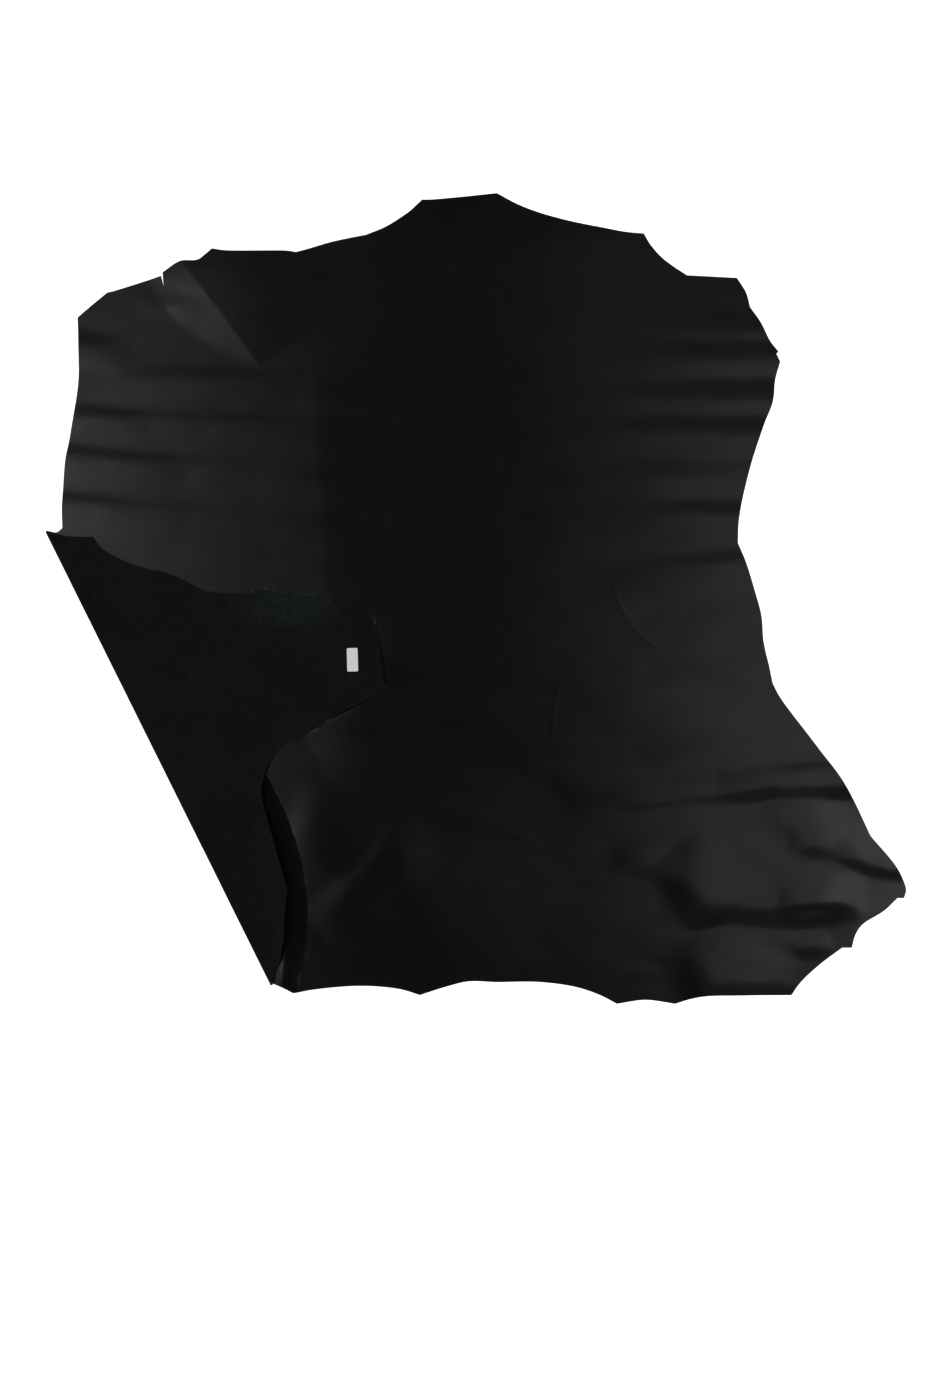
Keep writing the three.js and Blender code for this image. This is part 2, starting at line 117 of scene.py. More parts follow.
# Soft ridges that the stretching left, in millimetres: the crest's middle, its turn in degrees, its
# reach to either end, its reach down the far flank (to the left, looking along it) and the near one,
# and its height. A crisp flank falls straight to a plain foot, bow bends the crest sideways, and cuts
# are how far beside the crest, towards its far flank, the mesh is cut.

hideRidges = {
    "fore leg, upper": {"x": 630, "y": 618, "turn": 0, "reach": 330, "far": 48, "near": 38, "height": 2},
    "fore leg, middle": {"x": 653, "y": 551, "turn": 0, "reach": 480, "far": 52, "near": 52, "height": 3.2},
    "fore leg, lower": {"x": 515, "y": 457, "turn": 0, "reach": 520, "far": 50, "near": 38, "height": 2.4},
    "belly, upper": {"x": 446, "y": 378, "turn": 0, "reach": 440, "far": 50, "near": 64, "height": 3.4},
    "belly, middle": {"x": 377, "y": 270, "turn": 0, "reach": 250, "far": 76, "near": 40, "height": 2.6},
    "belly, lower": {"x": 492, "y": 185, "turn": 0, "reach": 400, "far": 48, "near": 80, "height": 4.2},
    "waist": {"x": 527, "y": 70, "turn": 6.5, "reach": 280, "far": 46, "near": 90, "height": 4},
    "waist, lower": {"x": 642, "y": -29, "turn": 0, "reach": 150, "far": 40, "near": 60, "height": 1.3},
    "flank, upper": {"x": 619, "y": -164, "turn": 0, "reach": 210, "far": 44, "near": 50, "height": 2.8},
    "flank, middle": {"x": 331, "y": -229, "turn": 0, "reach": 160, "far": 50, "near": 40, "height": 1.2},
    "flank, lower": {"x": 377, "y": -282, "turn": 0, "reach": 290, "far": 70, "near": 46, "height": 2.4},
    "thigh, upper": {"x": 630, "y": -339, "turn": 6, "reach": 260, "far": 60, "near": 42, "height": 3.2},
    "thigh, middle": {"x": 883, "y": -408, "turn": 1, "reach": 330, "far": 54, "near": 70, "height": 7.2},
    "thigh, inner": {"x": 492, "y": -440, "turn": 5, "reach": 300, "far": 44, "near": 54, "height": 4},
    "thigh, inner end": {"x": 308, "y": -440, "turn": 0, "reach": 140, "far": 60, "near": 40, "height": 1.4},
    "thigh, faint": {"x": 584, "y": -574, "turn": 0, "reach": 130, "far": 50, "near": 40, "height": 1.2},
    "shank, dimple": {"x": 741, "y": -519, "turn": -45, "reach": 90, "far": 130, "near": 80, "height": 3},
    "shank, upper": {"x": 814, "y": -565, "turn": -8, "reach": 100, "far": 90, "near": 56, "height": 3.2},
    "shank, tip": {"x": 938, "y": -611, "turn": -10, "reach": 110, "far": 70, "near": 40, "height": 3.4},
    "shank, lower": {"x": 665, "y": -707, "turn": 2, "reach": 240, "far": 90, "near": 60, "height": 4.2},
    "shank, outer": {"x": 791, "y": -693, "turn": 2, "reach": 100, "far": 90, "near": 60, "height": 4.7},
    "rump": {"x": 506, "y": -666, "turn": -52, "reach": 100, "far": 130, "near": 84, "height": 5},
    "rump, inner": {"x": 389, "y": -611, "turn": -8, "reach": 80, "far": 60, "near": 46, "height": 1.8},
    "butt, right": {"x": 547, "y": -887, "turn": -71, "reach": 125, "far": 220, "near": 104, "height": 7.5},
    "hind leg, inner side": {"x": 773, "y": -799, "turn": 15, "reach": 50, "far": 40, "near": 36, "height": 1.6},
    "left fore leg, tip": {"x": -920, "y": 581, "turn": -8, "reach": 130, "far": 46, "near": 60, "height": 3},
    "left fore leg, lower": {"x": -547, "y": 491, "turn": -1, "reach": 320, "far": 52, "near": 60, "height": 3.4},
    "left belly, upper": {"x": -842, "y": 408, "turn": -3, "reach": 220, "far": 42, "near": 60, "height": 2.8},
    "left belly, top": {"x": -531, "y": 392, "turn": -1, "reach": 220, "far": 46, "near": 60, "height": 3.6},
    "left belly, middle": {"x": -888, "y": 316, "turn": -5, "reach": 220, "far": 46, "near": 60, "height": 3.6},
    "left belly, inner": {"x": -577, "y": 296, "turn": -2, "reach": 280, "far": 44, "near": 60, "height": 3.6},
    "left belly, lower": {"x": -934, "y": 210, "turn": -4, "reach": 270, "far": 46, "near": 70, "height": 4.8},
    "left belly, low": {"x": -589, "y": 185, "turn": -2, "reach": 290, "far": 44, "near": 60, "height": 3.4},
    "left belly, last": {"x": -520, "y": 98, "turn": 0, "reach": 180, "far": 44, "near": 60, "height": 1.5},
    "edge of the middle": {"x": -356, "y": 227, "turn": -87,
                           "reach": 320, "far": 150, "near": 150, "height": 2.6, "crisp": "near"},
    "across the slit": {"x": -708, "y": 666, "turn": 0, "reach": 80, "far": 40, "near": 40, "height": 1.2},
    "beside the slit": {"x": -637, "y": 723, "turn": -52, "reach": 240, "far": 320, "near": 96, "height": 9.4,
                        "crisp": "near", "bow": 6, "cuts": (-4, 0, 4)},
    "side of the gap": {"x": -387, "y": -679, "turn": 95, "reach": 340, "far": 65, "near": 640, "height": 23,
                        "crisp": "far", "bow": -103, "cuts": (0,)},
    "beside the gap": {"x": -379, "y": -526, "turn": 72, "reach": 110, "far": 72, "near": 170, "height": 3.8},
    "streak, lower": {"x": -294, "y": -684, "turn": 37, "reach": 100, "far": 60, "near": 140, "height": 4},
    "streak, upper": {"x": -198, "y": -574, "turn": 58, "reach": 100, "far": 60, "near": 140, "height": 3.8},
    "fold, last corner": {"x": -432, "y": -889, "turn": 90, "reach": 60, "far": 50, "near": 50, "height": 3},
    "fine crease, waist": {"x": 354, "y": -54, "turn": -54, "reach": 125, "far": 9, "near": 9, "height": 0.3,
                           "crisp": "both", "bow": -35, "cuts": (-3, 0, 3)},
    "fine crease, flank": {"x": 179, "y": -261, "turn": 82, "reach": 85, "far": 9, "near": 9, "height": 0.25,
                           "crisp": "both", "bow": 8, "cuts": (-3, 0, 3)},
    "fine crease, rump": {"x": 92, "y": -542, "turn": -25, "reach": 95, "far": 9, "near": 9, "height": 0.3,
                          "crisp": "both", "cuts": (-3, 0, 3)},
    "beside the turned end": {"x": -214, "y": -122, "turn": 101, "reach": 84, "far": 13, "near": 200,
                              "height": 5.4, "crisp": "far", "bow": -9, "cuts": (0, 6)},
    "beside the turned inner side": {"x": -296.6, "y": -263.9, "turn": 31.6, "reach": 114, "far": 9,
                                     "near": 200, "height": 3.8, "crisp": "far", "bow": -7.5,
                                     "cuts": (0, 6)},
}

# the same on the turned leg, on top of those that it lies on
turnedRidges = {
    "raised edge": {"x": -468, "y": -560, "turn": -78, "reach": 330, "far": 70, "near": 70, "height": 20},
    "low edge": {"x": -450, "y": -780, "turn": 90, "reach": 150, "far": 60, "near": 60, "height": 16},
    "inner side": {"x": -300, "y": -240, "turn": 27, "reach": 150, "far": 40, "near": 50, "height": 3},
}

hideSizes = {  # millimetres and degrees
    "thickness": 1.5,
    "bendRadius": 5.5,
    "layerGap": 1.0,
    "settleLength": 90,  # from the bend to where the turned leg has come down to rest
    "edgeStep": 6,
    "cell": 10,
    "gridX": (-1280, 990),  # where the slices through the flat hide start and stop
    "gridY": (-930, 930),
    "cutSlack": 1e-4,
    "bendSteps": 16,
    "crestStep": 25,  # length of one straight cut along a bowed crest
    "creaseAngle": 14,  # a tighter fold is shaded as a plain crease, which keeps a bright rim off it
    "rollPitch": 110,  # broad, barely seen unevenness of a skin that was never quite flat
    "rollHeight": 1.2,
    "dapplePitch": 35,
    "dappleHeight": 0.45,
    "rollLift": 0.5,  # the more of this, the fewer flat places between the rolls
    "stretch": 2.6,  # how much longer the rolls are from side to side than from neck to tail
    "calm": (45, 130),  # how far from the label they start, and have their full height
}

foldStart = Vector(foldLine["top"])
foldWay = (Vector(foldLine["bottom"]) - foldStart).normalized()
foldLength = (Vector(foldLine["bottom"]) - foldStart).length
outWay = Vector((foldWay.y, -foldWay.x))
bendLength = math.pi * hideSizes["bendRadius"]


def fromFold(x, y):
    level = Vector((x, y)) - foldStart
    return level.dot(foldWay), level.dot(outWay)


def besideFold(along, out):
    return foldStart + foldWay * along + outWay * out


# from a place on the turned leg, as it lies, to its place on the flat hide
def unfold(point):
    along, out = fromFold(*point)
    return besideFold(along, bendLength - out)


def smoothStep(value, low, high):
    t = min(1.0, max(0.0, (value - low) / (high - low)))
    return t * t * (3 - 2 * t)


# a smooth curve through the points of one bay, its last corner left to the next bay
def followBay(points):
    points = [Vector((x, y, 0)) for x, y in points]
    points = [2 * points[0] - points[1]] + points + [2 * points[-1] - points[-2]]
    spots = []
    for a, b, c, d in zip(points, points[1:], points[2:], points[3:]):
        ab, bc, cd = (math.sqrt((q - p).length) for p, q in ((a, b), (b, c), (c, d)))
        leaving = ((b - a) / ab - (c - a) / (ab + bc) + (c - b) / bc) * bc
        arriving = ((c - b) / bc - (d - b) / (bc + cd) + (d - c) / cd) * bc
        count = max(1, round((c - b).length / hideSizes["edgeStep"]))
        spots += interpolate_bezier(b, b + leaving / 3, c - arriving / 3, c, count + 1)[:-1]
    return [spot.xy for spot in spots]


def followEdge(bays, end):
    corners = [row["corner"] for row in bays[1:]] + [end]
    spots = []
    for row, corner in zip(bays, corners):
        spots += followBay([row["corner"], *row["through"], corner])
    return spots


# the straight run of the cut edge over the bend, at one end of the fold line
def crossBend(along):
    steps = hideSizes["bendSteps"]
    return [besideFold(along, bendLength * step / steps) for step in range(steps + 1)]


def flatEdge():
    lying = followEdge(lyingEdge, foldLine["top"])[1:]
    turned = followEdge(turnedEdge, foldLine["bottom"])[1:]
    return lying + crossBend(0) + [unfold(spot) for spot in turned] + crossBend(foldLength)[::-1]


# one ridge: an S-curve down each flank, or an even slope to a plain foot on its crisp side
def ridgeHeight(ridge, x, y):
    turn = math.radians(ridge["turn"])
    along = ((x - ridge["x"]) * math.cos(turn) + (y - ridge["y"]) * math.sin(turn)) / ridge["reach"]
    across = (y - ridge["y"]) * math.cos(turn) - (x - ridge["x"]) * math.sin(turn)
    across += ridge.get("bow", 0) * along * along
    side = "far" if across > 0 else "near"
    across = abs(across) / ridge[side]
    if abs(along) >= 1 or across >= 1:
        return 0.0
    fall = math.cos(along * math.pi / 2)
    if ridge.get("crisp") in (side, "both"):
        return ridge["height"] * max(0.0, fall - across)
    return ridge["height"] * fall * math.cos(across * math.pi / 2) ** 2


def relief(ridges, x, y):
    return sum(ridgeHeight(ridge, x, y) for ridge in ridges.values())


# low rolls, longer from side to side than from neck to tail, and flat under the label
def unevenness(x, y):
    height = 0
    for pitch, size in (("rollPitch", "rollHeight"), ("dapplePitch", "dappleHeight")):
        spot = Vector((x / hideSizes["stretch"], y, 0)) / hideSizes[pitch]
        height += hideSizes[size] * max(0.0, hideSizes["rollLift"] + noise.noise(spot))
    away = (Vector((x, y)) - Vector(labelSizes["centre"])).length
    return height * smoothStep(away, *hideSizes["calm"])


# where a point of the flat hide's middle surface comes to lie
def lie(x, y):
    s = hideSizes
    along, out = fromFold(x, y)
    if out <= 0:
        return Vector((x, y, s["thickness"] / 2 + relief(hideRidges, x, y) + unevenness(x, y)))
    turned = min(out / s["bendRadius"], math.pi)
    back = max(out - bendLength, 0)
    spot = besideFold(along, s["bendRadius"] * math.sin(turned) - back)
    settled = smoothStep(back, 0, s["settleLength"])
    height = s["thickness"] / 2 + relief(hideRidges, *spot) + unevenness(*spot)
    height += s["bendRadius"] * (1 - math.cos(turned))
    height -= (2 * s["bendRadius"] - s["thickness"] - s["layerGap"]) * settled
    height += relief(turnedRidges, *spot) * settled
    return Vector((spot.x, spot.y, height))


# slices some faces of the flat piece along one straight line, and gives the faces that result
def cutAlong(bm, faces, spot, way):
    parts = {part for face in faces for part in (*face.verts, *face.edges)}
    cut = bmesh.ops.bisect_plane(bm, geom=[*parts, *faces], dist=hideSizes["cutSlack"],
                                 plane_co=(*spot, 0), plane_no=(*way, 0))
    return [part for part in cut["geom"] if isinstance(part, bmesh.types.BMFace)]


def isBeside(face, start, end, way):
    spot = face.calc_center_median().xy
    if not start.dot(way) <= spot.dot(way) < end.dot(way):
        return False
    return abs((spot - start).dot((end - start).orthogonal().normalized())) < hideSizes["cell"]


# cuts close beside a crisp crest, which is tighter than the plain grid
def cutCrest(bm, ridge):
    turn = math.radians(ridge["turn"])
    way = Vector((math.cos(turn), math.sin(turn)))
    middle = Vector((ridge["x"], ridge["y"]))
    steps = math.ceil(2 * ridge["reach"] / hideSizes["crestStep"])
    spots = []
    for step in range(steps + 1):
        along = 2 * step / steps - 1
        aside = way.orthogonal() * along * along * ridge.get("bow", 0)
        spots.append(middle + way * along * ridge["reach"] - aside)
    for start, end in zip(spots, spots[1:]):
        beside = (end - start).orthogonal().normalized()
        faces = [face for face in bm.faces if isBeside(face, start, end, way)]
        for shift in ridge["cuts"]:
            faces = cutAlong(bm, faces, start + beside * shift, beside)


# the flat hide as one face, sliced into a grid and then laid down point by point
def cutSheet():
    cell = hideSizes["cell"]
    bm = bmesh.new()
    bm.faces.new([bm.verts.new((*spot, 0)) for spot in flatEdge()])
    for x in range(*hideSizes["gridX"], cell):
        cutAlong(bm, bm.faces[:], (x, 0), (1, 0))
    for y in range(*hideSizes["gridY"], cell):
        cutAlong(bm, bm.faces[:], (0, y), (0, 1))
    for spot in crossBend(0):
        cutAlong(bm, bm.faces[:], spot, outWay)
    for ridge in hideRidges.values():
        if "cuts" in ridge:
            cutCrest(bm, ridge)
    for vert in bm.verts:
        vert.co = lie(vert.co.x, vert.co.y) * mm
    return bm


def meshObject(name, bm, materials):
    mesh = bpy.data.meshes.new(name)
    bm.normal_update()
    bm.to_mesh(mesh)
    bm.free()
    for material in materials:
        mesh.materials.append(material)
    mesh.shade_smooth()
    thing = bpy.data.objects.new(name, mesh)
    scene.collection.objects.link(thing)
    return thing


# makes the modifiers final and keeps the cut edge and the tightest crests crisp
def sharpen(thing, angle):
    graph = bpy.context.evaluated_depsgraph_get()
    finished = bpy.data.meshes.new_from_object(thing.evaluated_get(graph))
    thing.modifiers.clear()
    thing.data = finished
    finished.set_sharp_from_angle(angle=math.radians(angle))


def buildHide():
    hide = meshObject("hide_sheet", cutSheet(), [grainLeather(), fleshSuede(), cutFibre()])
    skin = hide.modifiers.new("thickness", "SOLIDIFY")
    skin.thickness = hideSizes["thickness"] * mm
    skin.offset = 0
    skin.material_offset = 1
    skin.material_offset_rim = 2
    sharpen(hide, hideSizes["creaseAngle"])
    print("hide:", len(hide.data.polygons), "faces")
    return hide


patterns = {  # repeats to the metre, and the size of one
    "pores": 1 / 0.0022,  # 2.2 mm, coarser than real pores, which would not show
    "gloss": 9,  # patches of 110 mm
    "nap": 350,  # tufts of 3 mm, coarser than the real nap, which would not show
    "mottle": 60,  # 17 mm
    "broadMottle": 6,  # 170 mm
    "fluff": 140,  # 7 mm
    "cutFibre": 900,  # 1 mm, coarser than real fibre bundles
    "felt": 1200,  # 0.8 mm, coarser than real paper fibre
    "fibreTint": 160,  # 6 mm
}

frayedPatch = {"spot": (-0.43, -0.015, 0.01), "reach": (0.15, 0.06, 0.1)}  # pulled, paler nap, in metres


# sRGB hex to the linear colour that the shader wants
def linear(hexCode):
    channels = [int(hexCode[i:i + 2], 16) / 255 for i in (1, 3, 5)]
    return tuple(c / 12.92 if c <= 0.04045 else ((c + 0.055) / 1.055) ** 2.4 for c in channels) + (1,)


# adds one node, with its settings, and joins its inputs to values or to other sockets
def addNode(tree, kind, inputs, **settings):
    node = tree.nodes.new(kind)
    for name, value in settings.items():
        setattr(node, name, value)
    for name, value in inputs.items():
        if isinstance(value, bpy.types.NodeSocket):
            tree.links.new(value, node.inputs[name])
        else:
            node.inputs[name].default_value = value
    return node


def newMaterial(name, colour, roughness, **sockets):
    material = bpy.data.materials.new(name)
    material.use_nodes = True
    shader = material.node_tree.nodes["Principled BSDF"]
    shader.inputs["Base Color"].default_value = linear(colour)
    shader.inputs["Roughness"].default_value = roughness
    for socket, value in sockets.items():
        shader.inputs[socket.replace("_", " ")].default_value = value
    return material, material.node_tree, shader


# pigmented, plated cattle grain under a thin lacquer: a black with a soft gleam
def grainLeather():
    material, tree, shader = newMaterial("platedGrainLeather", "#080909", 0.25, Specular_IOR_Level=0.25,
                                         Coat_Weight=0.6, Coat_Roughness=0.13)
    spot = addNode(tree, "ShaderNodeTexCoord", {}).outputs["Object"]
    pores = addNode(tree, "ShaderNodeTexVoronoi", {"Vector": spot, "Scale": patterns["pores"]})
    cloud = addNode(tree, "ShaderNodeTexNoise", {"Vector": spot, "Scale": patterns["gloss"], "Detail": 4})
    gloss = addNode(tree, "ShaderNodeMapRange",
                    {"Value": cloud.outputs["Fac"], "From Min": 0.3, "From Max": 0.7,
                     "To Min": 0.23, "To Max": 0.27})
    bump = addNode(tree, "ShaderNodeBump",
                   {"Height": pores.outputs["Distance"], "Strength": 0.12, "Distance": 0.0003})
    tree.links.new(gloss.outputs["Result"], shader.inputs["Roughness"])
    tree.links.new(bump.outputs["Normal"], shader.inputs["Normal"])
    return material


# split and buffed flesh side: a dull, mottled nap that scatters light, paler where it frays
def fleshSuede():
    material, tree, shader = newMaterial("buffedFleshSide", "#121317", 0.95, Specular_IOR_Level=0.1)
    spot = addNode(tree, "ShaderNodeTexCoord", {}).outputs["Object"]
    nap = addNode(tree, "ShaderNodeTexNoise", {"Vector": spot, "Scale": patterns["nap"], "Detail": 4})
    mottle = addNode(tree, "ShaderNodeTexNoise", {"Vector": spot, "Scale": patterns["mottle"], "Detail": 5})
    broad = addNode(tree, "ShaderNodeTexNoise",
                    {"Vector": spot, "Scale": patterns["broadMottle"], "Detail": 2})
    both = addNode(tree, "ShaderNodeMath", {0: mottle.outputs["Fac"], 1: broad.outputs["Fac"]})
    tone = addNode(tree, "ShaderNodeMapRange",
                   {"Value": both.outputs["Value"], "From Min": 0.7, "From Max": 1.3})
    colour = addNode(tree, "ShaderNodeMix",
                     {"Factor": tone.outputs["Result"], "A": linear("#0c0d0f"), "B": linear("#141517")},
                     data_type="RGBA")
    beside = addNode(tree, "ShaderNodeMapping",
                     {"Vector": spot, "Location": frayedPatch["spot"], "Scale": frayedPatch["reach"]},
                     vector_type="TEXTURE")
    away = addNode(tree, "ShaderNodeVectorMath", {0: beside.outputs["Vector"]}, operation="LENGTH")
    near = addNode(tree, "ShaderNodeMapRange",
                   {"Value": away.outputs["Value"], "From Min": 1, "From Max": 0.3})
    fluff = addNode(tree, "ShaderNodeTexNoise", {"Vector": spot, "Scale": patterns["fluff"], "Detail": 3})
    patch = addNode(tree, "ShaderNodeMapRange",
                    {"Value": fluff.outputs["Fac"], "From Min": 0.3, "From Max": 0.85,
                     "To Max": near.outputs["Result"]})
    frayed = addNode(tree, "ShaderNodeMix",
                     {"Factor": patch.outputs["Result"], "A": colour.outputs["Result"],
                      "B": linear("#20282a")}, data_type="RGBA")
    bump = addNode(tree, "ShaderNodeBump",
                   {"Height": nap.outputs["Fac"], "Strength": 0.5, "Distance": 0.0006})
    tree.links.new(frayed.outputs["Result"], shader.inputs["Base Color"])
    tree.links.new(bump.outputs["Normal"], shader.inputs["Normal"])
    return material


# the knife-cut edge: packed fibre dyed through, dull and a little lighter
def cutFibre():
    material, tree, shader = newMaterial("cutFibreEdge", "#1c1d1f", 0.9)
    spot = addNode(tree, "ShaderNodeTexCoord", {}).outputs["Object"]
    fibre = addNode(tree, "ShaderNodeTexNoise", {"Vector": spot, "Scale": patterns["cutFibre"], "Detail": 3})
    bump = addNode(tree, "ShaderNodeBump",
                   {"Height": fibre.outputs["Fac"], "Strength": 0.6, "Distance": 0.0004})
    tree.links.new(bump.outputs["Normal"], shader.inputs["Normal"])
    return material


labelSizes = {  # millimetres and degrees
    "width": 25,
    "length": 54,
    "thickness": 0.4,
    "corner": 3,
    "cornerSteps": 5,
    "edgeAngle": 50,
    "centre": (-284, -141),
    "turn": 1.5,
}


# uncoated label stock: matt white with a faint felt of fibres
def labelPaper():
    material, tree, shader = newMaterial("uncoatedLabelPaper", "#ececf0", 0.75)
    spot = addNode(tree, "ShaderNodeTexCoord", {}).outputs["Object"]
    felt = addNode(tree, "ShaderNodeTexNoise", {"Vector": spot, "Scale": patterns["felt"], "Detail": 3})
    bump = addNode(tree, "ShaderNodeBump",
                   {"Height": felt.outputs["Fac"], "Strength": 0.15, "Distance": 0.0001})
    tree.links.new(bump.outputs["Normal"], shader.inputs["Normal"])
    return material


def buildLabel():
    s = labelSizes
    low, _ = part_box("paper_label")
    bm = bmesh.new()
    bmesh.ops.create_grid(bm, x_segments=1, y_segments=1, size=0.5)
    bmesh.ops.scale(bm, vec=(s["width"] * mm, s["length"] * mm, 1), verts=bm.verts)
    bmesh.ops.bevel(bm, geom=bm.verts[:], offset=s["corner"] * mm, segments=s["cornerSteps"],
                    profile=0.5, affect="VERTICES", material=-1)
    walls = bmesh.ops.extrude_face_region(bm, geom=bm.faces[:])["geom"]
    lifted = [part for part in walls if isinstance(part, bmesh.types.BMVert)]
    bmesh.ops.translate(bm, vec=(0, 0, s["thickness"] * mm), verts=lifted)
    bmesh.ops.recalc_face_normals(bm, faces=bm.faces[:])
    bmesh.ops.rotate(bm, cent=(0, 0, 0), verts=bm.verts[:],
                     matrix=Matrix.Rotation(math.radians(s["turn"]), 3, "Z"))
    bmesh.ops.translate(bm, vec=(s["centre"][0] * mm, s["centre"][1] * mm, low.z), verts=bm.verts[:])
    label = meshObject("blank_label", bm, [labelPaper()])
    label.data.set_sharp_from_angle(angle=math.radians(s["edgeAngle"]))
    print("label: done")
    return label


fringe = {  # loose fibres along the frayed edge, in millimetres and degrees
    "count": 110,
    "x": (-531, -326),  # the stretch of the turned leg's edge that is frayed
    "lowest": -60,  # keeps them off the leg's other side
    "inside": 3,  # how far in from the edge they start
    "length": (4, 13),
    "radius": 0.3,
    "heading": 90,  # straight out from the edge
    "spread": 50,
    "curl": 0.5,  # radians at each joint
    "joints": 4,
    "taper": 0.7,
    "seed": 4,
}


# fibres drawn out of the flesh side at its frayed edge: fine, matt and paler than the nap
def looseFibre():
    material, tree, shader = newMaterial("looseFibre", "#333f43", 0.9)
    spot = addNode(tree, "ShaderNodeTexCoord", {}).outputs["Object"]
    tint = addNode(tree, "ShaderNodeTexNoise", {"Vector": spot, "Scale": patterns["fibreTint"], "Detail": 2})
    colour = addNode(tree, "ShaderNodeMix",
                     {"Factor": tint.outputs["Fac"], "A": linear("#14181a"), "B": linear("#48585c")},
                     data_type="RGBA")
    tree.links.new(colour.outputs["Result"], shader.inputs["Base Color"])
    return material


# short splines from the turned leg's upper face, over its cut edge and down onto the hide
def buildFringe():
    s = fringe
    draw = random.Random(s["seed"])
    edge = [spot for spot in followEdge(turnedEdge, foldLine["bottom"])
            if s["x"][0] < spot.x < s["x"][1] and spot.y > s["lowest"]]
    curve = bpy.data.curves.new("fringe", "CURVE")
    curve.dimensions = "3D"
    curve.bevel_depth = s["radius"] * mm
    curve.bevel_resolution = 0
    curve.use_fill_caps = True
    for _ in range(s["count"]):
        rank = draw.randrange(len(edge) - 1)
        spot = edge[rank].lerp(edge[rank + 1], draw.random()) - Vector((0, s["inside"]))
        top = lie(*unfold(spot)).z + hideSizes["thickness"] / 2
        heading = math.radians(s["heading"] + draw.uniform(-s["spread"], s["spread"]))
        step = draw.uniform(*s["length"]) / s["joints"]
        line = curve.splines.new("POLY")
        line.points.add(s["joints"])
        for joint, point in enumerate(line.points):
            share = joint / s["joints"]
            ground = lie(*spot).z + hideSizes["thickness"] / 2 + s["radius"]
            point.co = (*spot * mm, (top + (ground - top) * share * share) * mm, 1)
            point.radius = 1 - s["taper"] * share
            spot = spot + Vector((math.cos(heading), math.sin(heading))) * step
            heading += draw.uniform(-s["curl"], s["curl"])
    mesh = bpy.data.meshes.new_from_object(bpy.data.objects.new("fringe", curve))
    mesh.materials.clear()
    mesh.materials.append(looseFibre())
    fibres = bpy.data.objects.new("frayed_fibres", mesh)
    scene.collection.objects.link(fibres)
    print("fringe:", s["count"], "fibres")
    return fibres


studio = {  # metres, and the sensor in millimetres
    "cameraHeight": 4.0,
    "cameraSpot": (-0.0219, -0.2335),
    "viewLength": 3.22,
    "sensor": 36,
    "floorSpan": 24,
    "floorDrop": 0.0006,
    "floorGlow": 0.85,
    "wallHeight": 5.5,
    "wallSides": 96,
    "wallGlow": 0.25,
    "air": (0.01, 0.01, 0.01, 1),
    "wattsPerGleam": 4,  # to each square metre of an area lamp
}

panels = [  # soft boxes overhead, stepped so that their gleam fades in: sides, height, brightness
    {"name": "leftFirst", "x": (-2.7, -0.66), "y": (-2.2, 2.3), "height": 4.00, "gleam": 0.07},
    {"name": "leftSecond", "x": (-2.7, -0.9), "y": (-1.9, 2.0), "height": 4.04, "gleam": 0.1},
    {"name": "leftThird", "x": (-2.7, -1.3), "y": (-1.6, 1.7), "height": 4.08, "gleam": 0.12},
    {"name": "leftFourth", "x": (-2.7, -1.6), "y": (-1.4, 1.4), "height": 4.12, "gleam": 0.18},
    {"name": "leftFifth", "x": (-2.7, -1.9), "y": (-1.2, 1.1), "height": 4.16, "gleam": 0.4},
    {"name": "rightFirst", "x": (0.3, 3.6), "y": (-2.2, 2.3), "height": 4.00, "gleam": 0.05},
    {"name": "rightSecond", "x": (0.5, 3.6), "y": (-1.5, 2.0), "height": 4.04, "gleam": 0.05},
    {"name": "rightThird", "x": (0.7, 3.6), "y": (-1.5, 1.5), "height": 4.08, "gleam": 0.05},
    {"name": "rightFourth", "x": (0.9, 3.6), "y": (-1.5, 1.1), "height": 4.12, "gleam": 0.13},
    {"name": "rightFifth", "x": (1.1, 3.6), "y": (-1.4, 0.8), "height": 4.16, "gleam": 0.11},
    {"name": "rightSixth", "x": (1.9, 4.2), "y": (-1.6, 0.9), "height": 4.20, "gleam": 0.4},
    {"name": "middle", "x": (-0.9, 0.6), "y": (-0.5, 2.0), "height": 4.24, "gleam": 0.03},
]

fills = [  # large soft boxes past the neck and the tail, too low to gleam on the folds seen from above
    {"name": "neckFill", "place": (0, 4.55, 3.43), "turn": (-53, 0, 0), "size": (7.0, 1.8), "gleam": 3.1},
    {"name": "tailFill", "place": (0, -4.55, 3.43), "turn": (53, 0, 0), "size": (7.0, 1.8), "gleam": 3.1},
]


def addPanel(name, place, turn, size, gleam):
    lamp = bpy.data.lights.new(name, "AREA")
    lamp.shape = "RECTANGLE"
    lamp.size, lamp.size_y = size
    lamp.energy = studio["wattsPerGleam"] * gleam * size[0] * size[1]
    box = bpy.data.objects.new(name, lamp)
    box.location = place
    box.rotation_euler = [math.radians(angle) for angle in turn]
    scene.collection.objects.link(box)


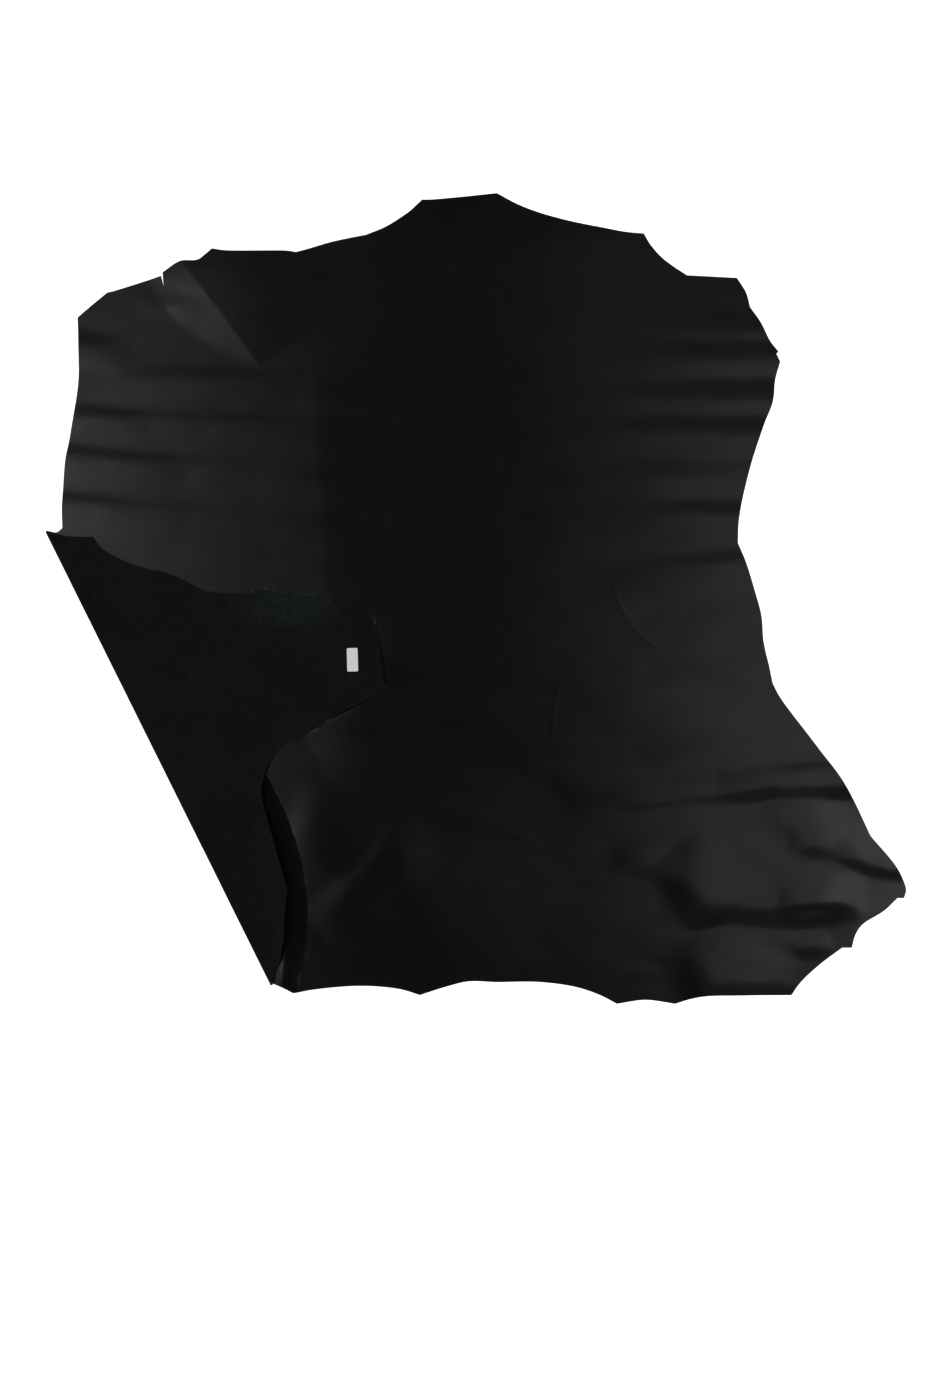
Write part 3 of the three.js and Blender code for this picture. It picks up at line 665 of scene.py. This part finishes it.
# a matt, pale grey wall all round the floor, which is what a low view sees behind the hide
def buildWall():
    material, _, shader = newMaterial("paleGreyWall", "#b4b4b4", 0.9, Emission_Strength=studio["wallGlow"])
    shader.inputs["Emission Color"].default_value = (1, 1, 1, 1)
    bm = bmesh.new()
    bmesh.ops.create_circle(bm, segments=studio["wallSides"], radius=studio["floorSpan"] / 2)
    bmesh.ops.translate(bm, vec=(0, 0, -2 * studio["floorDrop"]), verts=bm.verts)
    walls = bmesh.ops.extrude_edge_only(bm, edges=bm.edges[:])["geom"]
    lifted = [part for part in walls if isinstance(part, bmesh.types.BMVert)]
    bmesh.ops.translate(bm, vec=(0, 0, studio["wallHeight"]), verts=lifted)
    return meshObject("pale_wall", bm, [material])


# the floor is matt background paper, lit through so that hardly a shadow shows on it
def buildStudio():
    material, _, shader = newMaterial("palePaper", "#f4f4f4", 0.9, Emission_Strength=studio["floorGlow"])
    shader.inputs["Emission Color"].default_value = (1, 1, 1, 1)
    bm = bmesh.new()
    bmesh.ops.create_grid(bm, x_segments=1, y_segments=1, size=studio["floorSpan"] / 2)
    bmesh.ops.translate(bm, vec=(0, 0, -studio["floorDrop"]), verts=bm.verts)
    meshObject("pale_floor", bm, [material])
    buildWall()
    for row in panels:
        (left, right), (near, far) = row["x"], row["y"]
        place = ((left + right) / 2, (near + far) / 2, row["height"])
        addPanel(row["name"], place, (0, 0, 0), (right - left, far - near), row["gleam"])
    for row in fills:
        addPanel(row["name"], row["place"], row["turn"], row["size"], row["gleam"])
    world = bpy.data.worlds.new("studioAir")
    world.use_nodes = True
    world.node_tree.nodes["Background"].inputs["Color"].default_value = studio["air"]
    scene.world = world
    camera = bpy.data.objects.new("overhead", bpy.data.cameras.new("overhead"))
    camera.location = (*studio["cameraSpot"], studio["cameraHeight"])
    camera.data.sensor_fit = "VERTICAL"
    camera.data.sensor_height = studio["sensor"]
    camera.data.lens = studio["sensor"] * studio["cameraHeight"] / studio["viewLength"]
    scene.collection.objects.link(camera)
    scene.camera = camera
    scene.view_settings.view_transform = "Standard"
    print("studio: done")


hide = buildHide()
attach(hide, "root")
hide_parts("hide")

label = buildLabel()
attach(label, "root")
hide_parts("paper_label")

fibres = buildFringe()
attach(fibres, "root")

buildStudio()
